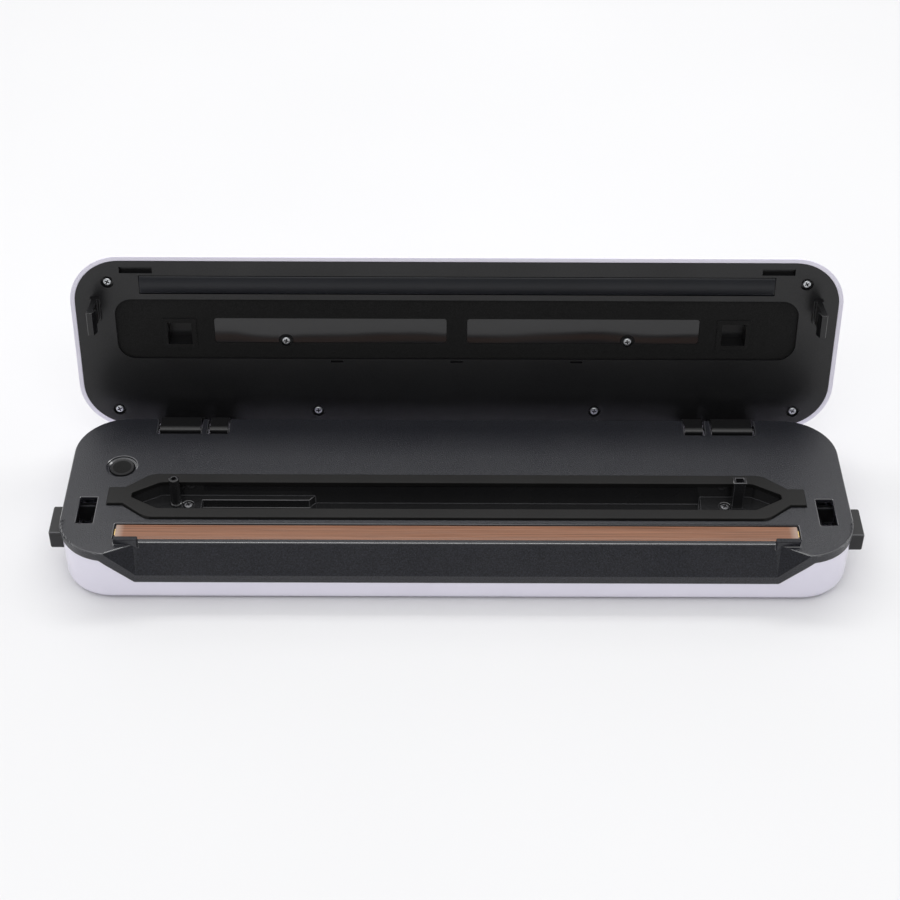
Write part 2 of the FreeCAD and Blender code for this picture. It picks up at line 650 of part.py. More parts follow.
def pump_head():
    y = (PUMP_Y - HEAD_HALF, PUMP_Y + HEAD_HALF)
    z = (PUMP_Z - HEAD_HALF, PUMP_Z + HEAD_HALF)
    block = box(HEAD_X, y, z)
    block = block.makeFillet(3.0, [e for e in block.Edges if e.BoundBox.XLength > 5])
    room = cylinder(8.5, (-15.0, PUMP_Y, PUMP_Z), 30.0, X_AXIS)
    mouth = cylinder(9.5, (HEAD_X[0] - 1, PUMP_Y, PUMP_Z), 3.0, X_AXIS)
    passage = cylinder(3.6, (HEAD_X[0], PUMP_Y, PUMP_Z), 10.0, X_AXIS)
    return block.cut(room).cut(mouth).cut(passage)


def pump_diaphragm():
    disc = cylinder(9.4, (HEAD_X[0], PUMP_Y, PUMP_Z), 2.0, X_AXIS)
    stub = cylinder(3.0, (HEAD_X[0] + 2.0, PUMP_Y, PUMP_Z), 4.0, X_AXIS)
    return joined([disc, stub])


def pump_cover():
    y = (PUMP_Y - HEAD_HALF, PUMP_Y + HEAD_HALF)
    z = (PUMP_Z - HEAD_HALF, PUMP_Z + HEAD_HALF)
    cover = box((HEAD_X[0] - 7.0, HEAD_X[0]), y, z)
    cover = cover.makeFillet(3.0, [e for e in cover.Edges if e.BoundBox.XLength > 5])
    spigots = []
    for dz in (-5.0, 5.0):
        start = (HEAD_X[0] - 16.0, PUMP_Y, PUMP_Z + dz)
        spigots.append(tube(2.0, 1.2, start, 9.5, X_AXIS))
    return joined([cover] + spigots)


def air_hose():
    """Silicone hose from the pump's intake spigot to the suction nozzle."""
    start = (HEAD_X[0] - 10.0, PUMP_Y, PUMP_Z - 5.0)
    points = [start, (-52.0, PUMP_Y, PUMP_Z - 5.0), (-70.0, 34.0, -23.6), (-112.0, POST_Y, -23.6),
              (-POST_X, POST_Y, -23.6), (-POST_X, POST_Y, -15.5)]
    return hose(points, 3.9, 3.0, 2.0)


def vent_hose():
    """Silicone hose from the vent post to the release valve."""
    points = [(POST_X, POST_Y, -15.5), (POST_X, POST_Y, -23.6), (112.0, POST_Y, -23.6), (70.0, 33.0, -23.0),
              (62.0, 44.0, -20.0), (62.0, 51.0, -20.0)]
    return hose(points, 3.9, 3.0, 2.0)


def release_valve():
    """Solenoid valve that lets air back in after sealing."""
    frame = box((54.0, 70.0), (56.0, 70.0), (FLOOR, -9.0))
    spigot = tube(2.0, 1.2, (62.0, 47.5, -20.0), 9.0, Y_AXIS)
    plunger = cylinder(2.2, (62.0, 70.0, -18.0), 3.0, Y_AXIS)
    return joined([frame, spigot, plunger])


def power_board():
    board = box((94.0, 148.0), (41.0, 64.0), (-23.6, -22.0))
    legs = [cylinder(2.5, (x, y, FLOOR), -23.6 - FLOOR) for x in (98.0, 144.0) for y in (44.5, 60.5)]
    parts = [cylinder(5.0, (102.0, 51.0, -22.0), 13.0), box((130.0, 134.0), (44.0, 60.0), (-22.0, -10.0)),
             box((138.0, 146.0), (46.0, 58.0), (-22.0, -14.0))]
    return joined([board] + legs + parts)


def transformer():
    core = box((111.0, 127.0), (44.0, 62.0), (-22.0, -7.0))
    winding = box((109.0, 129.0), (47.5, 58.5), (-19.5, -9.5))
    return joined([core, winding])


def mains_inlet():
    """Two-pole appliance inlet in the rear wall. It has no lead."""
    y_back = DECK_REAR - REVEAL
    body = slab_along_y((INLET_X - 9.9, INLET_X + 9.9), (INLET_Z - 4.9, INLET_Z + 4.9),
                        (62.0, y_back + 0.8), 2.9)
    hollow = slab_along_y((INLET_X - 8.6, INLET_X + 8.6), (INLET_Z - 3.9, INLET_Z + 3.9),
                          (66.0, y_back + 5), 2.6)
    return body.cut(hollow).cut(inlet_pins())


def inlet_pins():
    return Part.makeCompound([cylinder(1.2, (INLET_X + dx, 57.0, INLET_Z), 20.0, Y_AXIS) for dx in (-4.3, 4.3)])


def lid_switches():
    """One switch under each latch slot, worked by the nose of the lid's hook."""
    body = box((168.5, 176.5), (7.0, 20.0), (FLOOR, -19.5))
    plunger = cylinder(1.2, (172.4, 13.5, -19.5), 3.0)
    switch = joined([body, plunger])
    return Part.makeCompound(both_sides(switch))


# ---------------------------------------------------------------- lid, modelled closed
def opened(shape):
    """Swings a closed-lid shape to its open place."""
    shape = shape.copy()
    shape.rotate(V(0, HINGE_Y, HINGE_Z), X_AXIS, -LID_SWING)
    return shape


def pillow(inset):
    """The lid's rounded block, its crown carried on below the liner and shrunk all over by inset."""
    tuck = LID_CROWN_R - math.sqrt(LID_CROWN_R ** 2 - (LID_CROWN_R - LID_T) ** 2)
    out = LID_RIM + tuck - inset
    top = LID_GAP + LID_T - inset
    low = LID_GAP + LID_T - LID_CROWN_R - 3.0
    block = slab((-LINER_HALF - out, LINER_HALF + out), (LINER_FRONT - out, LINER_REAR + out), (low, top),
                 LINER_R + out)
    return block.makeFillet(LID_CROWN_R - inset, edges_at_z(block, top))


def lid_shell():
    top = LID_GAP + LID_T
    outer = pillow(0.0)
    inner = pillow(WALL)
    shell = outer.cut(inner)
    shell = shell.common(box((-200, 200), (-40, 100), (LID_GAP, top + 1)))
    cuts = [slab((-TOP_WINDOW_HALF, TOP_WINDOW_HALF), TOP_WINDOW_Y, (top - 1.2, top + 1), 6.0)]
    cuts.append(slab((-TOP_WINDOW_HALF + 5, TOP_WINDOW_HALF - 5), (TOP_WINDOW_Y[0] + 4, TOP_WINDOW_Y[1] - 4),
                     (top - 5, top + 1), 4.0))
    for x in KEY_X:
        cuts.append(slab((x - KEY_HALF_L - GAP, x + KEY_HALF_L + GAP),
                         (KEY_Y - KEY_R - GAP, KEY_Y + KEY_R + GAP), (top - 5, top + 1), KEY_R + GAP - 0.01))
        cuts.append(cylinder(1.0, (x, KEY_Y + 7.6, top - 5), 10))
    posts = [tube(3.0, 1.2, (s * x, y0, LID_GAP + LINER_T), LID_T - LINER_T - 1.0)
             for x, y0 in LID_SCREWS for s in (-1, 1)]
    shell = joined([shell.cut(Part.makeCompound(cuts))] + [p.common(outer) for p in posts])
    return shell


def top_window():
    """Smoked window let into the lid's outer face, over the two inner windows."""
    top = LID_GAP + LID_T
    pane = slab((-TOP_WINDOW_HALF, TOP_WINDOW_HALF), TOP_WINDOW_Y, (top - 1.2, top + 0.1), 6.0)
    return pane


def arm(x):
    """A hinge arm under the liner, square in front so that it fills the deck's notch when open."""
    corner = (-ARM_FRONT, -ARM_BELOW)
    front = [at_hinge(-ARM_ROOT, LID_GAP - HINGE_Z + 0.5), at_hinge(-ARM_FRONT, ARM_SHOULDER), at_hinge(*corner),
             at_hinge(-0.9, -ARM_BELOW), at_hinge(-0.9, 0), at_hinge(ARM_BEHIND, 0), at_hinge(ARM_BEHIND, 8.0),
             (LINER_REAR, LID_GAP), (LINER_REAR - 0.5, LID_GAP + 0.5)]
    block = side_prism(front, x)
    low_edge = [e for e in block.Edges
                if abs(e.BoundBox.YMin - at_hinge(*corner)[0]) < 1e-4
                and abs(e.BoundBox.ZMin - at_hinge(*corner)[1]) < 1e-4 and e.BoundBox.XLength > 5
                and e.BoundBox.YLength < 1e-4 and e.BoundBox.ZLength < 1e-4]
    block = block.makeFillet(ARM_EDGE_R, low_edge)
    boss = cylinder(4.6, (x[0], HINGE_Y, HINGE_Z), x[1] - x[0], X_AXIS)
    return joined([block, boss]).cut(cylinder(PIN_R + 0.05, (x[0] - 1, HINGE_Y, HINGE_Z), 40, X_AXIS))


def lid_liner():
    z0 = LID_GAP
    z1 = LID_GAP + LINER_T
    plate = slab((-LINER_HALF, LINER_HALF), (LINER_FRONT, LINER_REAR), (z0, z1), LINER_R)
    plate = plate.common(pillow(WALL + 0.1))
    recess_top = z0 + RECESS_DEPTH
    pan = slab((-RECESS_X - 1.6, RECESS_X + 1.6), (RECESS_Y[0] - 1.6, RECESS_Y[1] + 1.6), (z0, z1 + RECESS_DEPTH),
               RECESS_R + 1.6)
    strip_bed = box((-STRIP_HALF_L - 1.5, STRIP_HALF_L + 1.5), (-STRIP_HALF_W - 1.5, STRIP_HALF_W + 1.5),
                    (z0, z0 + 4.0))
    pits = both_sides(box((PIT_X - PIT_HALF - 1.4, PIT_X + PIT_HALF + 1.4),
                          (PIT_Y - PIT_HALF - 1.4, PIT_Y + PIT_HALF + 1.4), (z0, z0 + PIT_DEPTH + 1.6)))
    frames = both_sides(slab((PIT_X - PIT_FRAME_HALF, PIT_X + PIT_FRAME_HALF),
                             (PIT_Y - PIT_FRAME_HALF, PIT_Y + PIT_FRAME_HALF), (recess_top - 0.35, z1), 0.8))
    slots = both_sides(box((LID_SLOT_X[0] - 1.2, LID_SLOT_X[1] + 1.2), (LID_SLOT_Y[0] - 1.2, LID_SLOT_Y[1] + 1.2),
                           (z0, z0 + 3.8)))
    arms = []
    for x in (WIDE_ARM, NARROW_ARM):
        arms += both_sides(arm(x))
    stands = [cylinder(2.2, (x, y, z0), 7.9) for x in (-44, 44) for y in (45.0, 55.0)]
    recess = slab((-RECESS_X, RECESS_X), RECESS_Y, (z0 - 5, recess_top), RECESS_R)
    solid = joined([plate, pan, strip_bed] + pits + slots)
    solid = solid.cut(recess)
    solid = joined([solid] + frames + arms + stands)
    cuts = [box((-STRIP_HALF_L, STRIP_HALF_L), (-STRIP_HALF_W, STRIP_HALF_W), (z0 - 1, z0 + 2.5))]
    cuts += both_sides(box((PIT_X - PIT_HALF, PIT_X + PIT_HALF), (PIT_Y - PIT_HALF, PIT_Y + PIT_HALF),
                           (z0 - 1, z0 + PIT_DEPTH)))
    cuts += both_sides(box(LID_SLOT_X, LID_SLOT_Y, (z0 - 1, z0 + 2.8)))
    lens_hole = slab(LENS_X, LENS_Y, (z0 - 1, z0 + 10), LENS_R)
    cuts += both_sides(lens_hole.cut(cylinder(LENS_BOSS_R, (LENS_SCREW[0], LENS_SCREW[1], z0 - 2), 20)))
    cuts += both_sides(cylinder(1.3, (LENS_SCREW[0], LENS_SCREW[1], z0 - 1), 20))
    cuts += both_sides(cylinder(2.8, (LENS_SCREW[0], LENS_SCREW[1], z0 - 1), 2.2 + RECESS_DEPTH))
    cuts += both_sides(box((HOOK_ROOT_X[0], HOOK_ROOT_X[1]), HOOK_Y, (z0 - 1, z0 + 5)))
    cuts += [box((x - 3.0, x + 3.0), (TICK_Y - 0.5, TICK_Y + 0.5), (z0 - 1, z0 + 1.0)) for x in TICK_X]
    for x, y in LID_SCREWS:
        cuts += both_sides(cylinder(1.3, (x, y, z0 - 1), 20))
        cuts += both_sides(cylinder(3.1, (x, y, z0 - 1), 1.0 + LID_SCREW_SINK))
    return solid.cut(Part.makeCompound(cuts)).removeSplitter()


def inner_lens():
    """Right-hand clear window: it sits in the liner from behind and is notched around its screw boss."""
    face_z = LID_GAP + RECESS_DEPTH + 0.2
    back_z = LID_GAP + LINER_T + RECESS_DEPTH
    core = slab(LENS_X, LENS_Y, (face_z, back_z + 0.5), LENS_R)
    core = core.cut(cylinder(LENS_BOSS_R + 0.1, (LENS_SCREW[0], LENS_SCREW[1], 0), back_z))
    flange = slab((LENS_X[0] - 2.5, LENS_X[1] + 2.5), (LENS_Y[0] - 2.5, LENS_Y[1] + 2.5), (back_z, back_z + 1.0),
                  LENS_R + 1.0)
    ear = cylinder(3.0, (LENS_SCREW[0], LENS_SCREW[1], back_z), 4.0)
    return joined([core, flange, ear]).cut(cylinder(1.2, (LENS_SCREW[0], LENS_SCREW[1], 0), 20))


def seal_strip():
    """Silicone pressing strip, crowned along its middle."""
    z0 = LID_GAP
    crown = z0 - STRIP_CROWN
    left = V(-STRIP_HALF_L + 0.2, -STRIP_HALF_W + 0.3, z0)
    middle = V(-STRIP_HALF_L + 0.2, 0, crown)
    right = V(-STRIP_HALF_L + 0.2, STRIP_HALF_W - 0.3, z0)
    back = z0 + 2.5
    outline = [Part.Arc(left, middle, right).toShape(),
               Part.LineSegment(right, V(right.x, right.y, back)).toShape(),
               Part.LineSegment(V(right.x, right.y, back), V(left.x, left.y, back)).toShape(),
               Part.LineSegment(V(left.x, left.y, back), left).toShape()]
    return Part.Face(Part.Wire(outline)).extrude(V(2 * STRIP_HALF_L - 0.4, 0, 0))


def latch_hook():
    """Right-hand hook: root plate behind the liner, straight shank, nose with an inward barb."""
    z0 = LID_GAP
    nose = z0 - HOOK_REACH
    barb = z0 - BARB_AT
    root = box(HOOK_ROOT_X, HOOK_Y, (z0 - 1.6, z0 + 4.0))
    plate = box((HOOK_ROOT_X[0] - 3.0, HOOK_ROOT_X[1] + 1.5), (HOOK_Y[0] - 2.5, HOOK_Y[1] + 2.5),
                (z0 + LINER_T, z0 + LINER_T + 2.0))
    shank = box(HOOK_X, HOOK_Y, (nose, z0))
    tip = front_prism([(HOOK_X[1] + 0.3, barb), (BARB_X, barb), (BARB_X, barb - 1.0), (HOOK_X[0], nose),
                       (HOOK_X[1], nose), (HOOK_X[1] + 0.3, nose + 0.4)], HOOK_Y)
    return joined([root, plate, shank, tip])


def lid_screws():
    screws = []
    for x, y in LID_SCREWS:
        for sx in (-x, x):
            screws.append(pan_screw(sx, y, LID_GAP + LID_SCREW_SINK, 7.1, down=False))
    for sx in (-LENS_SCREW[0], LENS_SCREW[0]):
        screws.append(pan_screw(sx, LENS_SCREW[1], LID_GAP + RECESS_DEPTH + 1.2, 4.0, down=False))
    return Part.makeCompound(screws)


def control_board():
    z0 = LID_GAP + 7.9
    board = box((-50.0, 50.0), (42.5, 57.5), (z0, z0 + 1.2))
    switches = [box((x - 3.0, x + 3.0), (KEY_Y - 3.0, KEY_Y + 3.0), (z0 + 1.2, z0 + 2.6)) for x in KEY_X]
    return joined([board] + switches)


def control_key(x):
    top = LID_GAP + LID_T
    cap = slab((x - KEY_HALF_L, x + KEY_HALF_L), (KEY_Y - KEY_R, KEY_Y + KEY_R), (top - 4.2, top + 0.9),
               KEY_R - 0.01)
    cap = cap.makeFillet(0.5, edges_at_z(cap, top + 0.9))
    skirt = box((x - KEY_HALF_L - 1.2, x + KEY_HALF_L + 1.2), (KEY_Y - KEY_R - 1.2, KEY_Y + KEY_R + 1.2),
                (top - 3.9, top - WALL - GAP))
    return joined([cap, skirt])


def indicator_lights():
    """Light pipes beside the keys, standing on the control board."""
    top = LID_GAP + LID_T
    low = LID_GAP + 9.1
    return Part.makeCompound([cylinder(0.95, (x, KEY_Y + 7.6, low), top + 0.2 - low) for x in KEY_X])


# ---------------------------------------------------------------- export
def export(name, shape):
    shape = shape.copy()
    shape.translate(V(0, SEAL_LINE_Y, FOOT_HEIGHT - SHELL_BOTTOM))
    if not shape.isValid():
        print("not valid:", name)
    print(f"{name}: {len(shape.Solids)} solids, {shape.Volume / 1000:.2f} cm3")
    shape.exportStep(f"parts/{name}.step")
    return shape


BASE_PARTS = {
    "base_shell": base_shell,
    "deck_panel": deck_panel,
    "screw_bosses": screw_bosses,
    "mounting_ribs": mounting_ribs,
    "hinge_bracket_left": lambda: mirrored(hinge_bracket()),
    "hinge_bracket_right": hinge_bracket,
    "rubber_feet": rubber_feet,
    "base_screws": base_screws,
    "hinge_pin_left": lambda: hinge_pin(-1),
    "hinge_pin_right": lambda: hinge_pin(1),
    "vacuum_trough": vacuum_trough,
    "trough_gasket": trough_gasket,
    "trough_screws": trough_screws,
    "suction_nozzle": suction_nozzle,
    "vent_post": vent_post,
    "heater_bar": heater_bar,
    "heating_wire": heating_wire,
    "heater_terminals": heater_terminals,
    "sealing_tape": sealing_tape,
    "release_button_left": lambda: mirrored(release_button()),
    "release_button_right": release_button,
    "release_spring_left": lambda: mirrored(release_spring()),
    "release_spring_right": release_spring,
    "deck_button": deck_button,
    "deck_button_spring": deck_button_spring,
    "pump_motor": pump_motor,
    "pump_rotor": pump_rotor,
    "pump_head": pump_head,
    "pump_diaphragm": pump_diaphragm,
    "pump_cover": pump_cover,
    "air_hose": air_hose,
    "vent_hose": vent_hose,
    "release_valve": release_valve,
    "power_board": power_board,
    "transformer": transformer,
    "mains_inlet": mains_inlet,
    "inlet_pins": inlet_pins,
    "lid_switches": lid_switches,
}

LID_PARTS = {
    "lid_shell": lid_shell,
    "top_window": top_window,
    "lid_liner": lid_liner,
    "inner_lens_left": lambda: mirrored(inner_lens()),
    "inner_lens_right": inner_lens,
    "seal_strip": seal_strip,
    "latch_hook_left": lambda: mirrored(latch_hook()),
    "latch_hook_right": latch_hook,
    "lid_screws": lid_screws,
    "control_board": control_board,
    "indicator_lights": indicator_lights,
}
KEY_NAMES = ("key_left", "key_middle", "key_right")

made = [export(name, make()) for name, make in BASE_PARTS.items()]
made += [export(name, opened(make())) for name, make in LID_PARTS.items()]
made += [export(name, opened(control_key(x))) for name, x in zip(KEY_NAMES, KEY_X)]
extent = Part.makeCompound(made).optimalBoundingBox(False, False)
print(f"box X {extent.XMin:.2f} {extent.XMax:.2f}  Y {extent.YMin:.2f} {extent.YMax:.2f}"
      f"  Z {extent.ZMin:.2f} {extent.ZMax:.2f}")
hinge_at = V(0, HINGE_Y + SEAL_LINE_Y, HINGE_Z + FOOT_HEIGHT - SHELL_BOTTOM)
print(f"hinge axis Y {hinge_at.y:.2f} Z {hinge_at.z:.2f}, deck top Z {FOOT_HEIGHT - SHELL_BOTTOM:.2f}")
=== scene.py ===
import json
import math

import bpy
from mathutils import Matrix, Vector


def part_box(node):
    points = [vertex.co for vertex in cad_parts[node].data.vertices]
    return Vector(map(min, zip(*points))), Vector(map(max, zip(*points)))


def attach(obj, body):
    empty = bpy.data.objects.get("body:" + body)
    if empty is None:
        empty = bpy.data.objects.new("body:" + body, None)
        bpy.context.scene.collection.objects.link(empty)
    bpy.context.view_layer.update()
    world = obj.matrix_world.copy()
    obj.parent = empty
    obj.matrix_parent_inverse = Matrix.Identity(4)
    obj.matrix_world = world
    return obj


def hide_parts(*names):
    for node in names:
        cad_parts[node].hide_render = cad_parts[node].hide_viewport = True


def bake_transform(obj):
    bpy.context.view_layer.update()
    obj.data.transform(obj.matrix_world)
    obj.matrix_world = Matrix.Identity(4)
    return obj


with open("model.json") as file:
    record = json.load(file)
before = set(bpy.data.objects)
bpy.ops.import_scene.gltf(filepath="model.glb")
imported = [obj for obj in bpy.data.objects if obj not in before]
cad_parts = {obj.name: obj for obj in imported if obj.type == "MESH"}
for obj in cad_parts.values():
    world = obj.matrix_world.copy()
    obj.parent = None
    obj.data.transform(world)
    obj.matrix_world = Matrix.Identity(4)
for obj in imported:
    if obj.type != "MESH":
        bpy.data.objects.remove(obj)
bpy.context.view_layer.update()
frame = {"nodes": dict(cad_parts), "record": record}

# Vacuum sealer with its lid open. Lengths are in metres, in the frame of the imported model:
# X along the machine, Y to its back, Z up, and the origin on the table under its middle.

MM = 0.001
NODES = frame["nodes"]

# The seal line is the middle of the heating tape. The deck's top face is a little higher than the tape.
TAPE_LOW, TAPE_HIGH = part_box("sealing_tape")
TAPE_SINK = 0.5 * MM
DECK_TOP = TAPE_HIGH.z + TAPE_SINK
SEAL_Y = (TAPE_LOW.y + TAPE_HIGH.y) / 2

COLOUR_DRIFT, GLOSS_DRIFT, SHEET_DRIFT = 28.0, 35.0, 22.0   # slow patches a metre
CLOTH_STREAKS = 1500.0                                      # threads a metre across the tape
TAPE_DARK, TAPE_LIGHT = (0.16, 0.062, 0.027), (0.29, 0.126, 0.066)
FOLD_PALE, FOLD_SHARE = (0.50, 0.42, 0.36, 1), 0.45
FOLD_START, FOLD_END = TAPE_HIGH.x - 4 * MM, TAPE_HIGH.x - 1 * MM
SMOKE_DARK, SMOKE_LIGHT = (0.015, 0.015, 0.016), (0.019, 0.019, 0.020)

MERGE_GAP = 0.002 * MM
FLAT_ANGLE = 0.4                # degrees between faces that are really one flat face
EDGE_ANGLE = 40                 # degrees from which an edge is rounded over
EDGE_STEPS = 2
SOFT_ANGLE = 22                 # degrees up to which a rounded edge shades smoothly

HEAD_SHARE = 0.88               # a modelled screw head against its packed cylinder
HEAD_HEIGHT = 0.55              # head height against its radius
CROSS_LONG, CROSS_WIDE, CROSS_DEEP = 1.25, 0.34, 1.5
SCREW_TWIST = 19                # radians of turn for each millimetre along X, so no two crosses line up

CREASE_SIZE = (18 * MM, 2.2 * MM, 1)
CREASE_DEPTH = 0.10 * MM
CLOTH_THICK = 0.13 * MM
BORDER_WIDE, BORDER_DROP = 0.5 * MM, 0.12 * MM

BUTTON_DISH_R, BUTTON_DISH_DEEP = 4.4 * MM, 1.5 * MM
DECK_EDGE_DEEP = 0.72 * MM
FACET_AREA = 20 * MM * MM
FIN_RISE = 0.3 * MM
FLANK_AREA = 0.5 * MM * MM
LINER_FACE_Z = DECK_TOP + 0.8 * MM      # the liner's face, with the lid shut
RECESS_LEVEL = (0.7 * MM, 1.5 * MM)     # how deep its sunk panel lies under that face


# ---------------------------------------------------------------- node helpers
def new_material(name):
    """A material with node helpers: its shader, and its pattern coordinates."""
    material = bpy.data.materials.new(name)
    material.use_nodes = True
    tree = material.node_tree
    shader = tree.nodes["Principled BSDF"]
    place = tree.nodes.new("ShaderNodeTexCoord")
    return material, tree, shader, place.outputs["Object"]


def noise(tree, where, scale, detail=2.0, roughness=0.5, stretch=None):
    """Noise of so many grains a metre, as a plain 0 to 1 value."""
    node = tree.nodes.new("ShaderNodeTexNoise")
    node.inputs["Scale"].default_value = scale
    node.inputs["Detail"].default_value = detail
    node.inputs["Roughness"].default_value = roughness
    if stretch:
        mapping = tree.nodes.new("ShaderNodeMapping")
        mapping.inputs["Scale"].default_value = stretch
        tree.links.new(where, mapping.inputs["Vector"])
        where = mapping.outputs["Vector"]
    tree.links.new(where, node.inputs["Vector"])
    return node.outputs["Fac"]


def spread(tree, value, low, high, start=0.3, end=0.7):
    """Takes start..end of a value to low..high."""
    node = tree.nodes.new("ShaderNodeMapRange")
    node.inputs["From Min"].default_value = start
    node.inputs["From Max"].default_value = end
    node.inputs["To Min"].default_value = low
    node.inputs["To Max"].default_value = high
    tree.links.new(value, node.inputs["Value"])
    return node.outputs["Result"]


def tint(tree, value, dark, light, start=0.3, end=0.7):
    """A colour that runs from dark to light as the value goes from start to end."""
    ramp = tree.nodes.new("ShaderNodeValToRGB")
    ramp.color_ramp.elements[0].position = start
    ramp.color_ramp.elements[1].position = end
    ramp.color_ramp.elements[0].color = (*dark, 1)
    ramp.color_ramp.elements[1].color = (*light, 1)
    tree.links.new(value, ramp.inputs["Fac"])
    return ramp.outputs["Color"]


def bump(tree, shader, height, strength, distance):
    """Raises the shaded face by a value."""
    node = tree.nodes.new("ShaderNodeBump")
    node.inputs["Strength"].default_value = strength
    node.inputs["Distance"].default_value = distance
    tree.links.new(height, node.inputs["Height"])
    tree.links.new(node.outputs["Normal"], shader.inputs["Normal"])


def combine(tree, operation, first, second):
    """One value from two, such as their product or the larger of them."""
    node = tree.nodes.new("ShaderNodeMath")
    node.operation = operation
    tree.links.new(first, node.inputs[0])
    tree.links.new(second, node.inputs[1])
    return node.outputs["Value"]


def moulded(name, dark, light, rough, grain, depth, specular=0.5, coat=0.0):
    """Moulded plastic: colour and gloss drift a little, over a fine spark-eroded grain."""
    material, tree, shader, where = new_material(name)
    drift = noise(tree, where, COLOUR_DRIFT, 3.0)
    tree.links.new(tint(tree, drift, dark, light), shader.inputs["Base Color"])
    fine = noise(tree, where, grain, 3.0, 0.6)
    tree.links.new(spread(tree, fine, rough[0], rough[1]), shader.inputs["Roughness"])
    bump(tree, shader, fine, 0.5, depth * MM)
    shader.inputs["Specular IOR Level"].default_value = specular
    shader.inputs["Coat Weight"].default_value = coat
    return material


def sparked(name, dark, light, rough, grain, depth, specular=0.5):
    """Black plastic with a spark-eroded face: each grain is tinted lighter or darker, partly as its own tone
    and partly as a painted glint, and the same grains are raised.
    """
    material, tree, shader, where = new_material(name)
    grains = noise(tree, where, grain, 2.0, 0.65)
    # Grain tint from dark to light: partly the plastic's own speckle, partly painted glints.
    tree.links.new(tint(tree, grains, dark, light, 0.36, 0.72), shader.inputs["Base Color"])
    drift = noise(tree, where, GLOSS_DRIFT, 3.0)
    tree.links.new(spread(tree, drift, rough[0], rough[1]), shader.inputs["Roughness"])
    bump(tree, shader, grains, 0.7, depth * MM)
    shader.inputs["Specular IOR Level"].default_value = specular
    return material


def glass_cloth(name):
    """Coated glass cloth: brown, with streaks along it and paler folds at its two ends."""
    material, tree, shader, where = new_material(name)
    streaks = noise(tree, where, CLOTH_STREAKS, 3.0, 0.6, (0.012, 1.0, 1.0))
    brown = tint(tree, streaks, TAPE_DARK, TAPE_LIGHT, 0.34, 0.68)
    split = tree.nodes.new("ShaderNodeSeparateXYZ")
    tree.links.new(where, split.inputs["Vector"])
    reach = tree.nodes.new("ShaderNodeMath")
    reach.operation = "ABSOLUTE"
    tree.links.new(split.outputs["X"], reach.inputs[0])
    end = spread(tree, reach.outputs["Value"], 0.0, FOLD_SHARE, FOLD_START, FOLD_END)
    mix = tree.nodes.new("ShaderNodeMix")
    mix.data_type = "RGBA"
    tree.links.new(end, mix.inputs["Factor"])
    tree.links.new(brown, mix.inputs["A"])
    mix.inputs["B"].default_value = FOLD_PALE
    tree.links.new(mix.outputs["Result"], shader.inputs["Base Color"])
    tree.links.new(spread(tree, streaks, 0.34, 0.48), shader.inputs["Roughness"])
    bump(tree, shader, streaks, 0.5, 0.05 * MM)
    return material


def smoked_sheet(name):
    """Smoked clear plastic, polished but not quite flat."""
    material, tree, shader, where = new_material(name)
    slow = noise(tree, where, SHEET_DRIFT, 1.0)
    tree.links.new(tint(tree, slow, SMOKE_DARK, SMOKE_LIGHT), shader.inputs["Base Color"])
    tree.links.new(spread(tree, slow, 0.05, 0.08), shader.inputs["Roughness"])
    bump(tree, shader, slow, 0.5, 1.2 * MM)
    return material


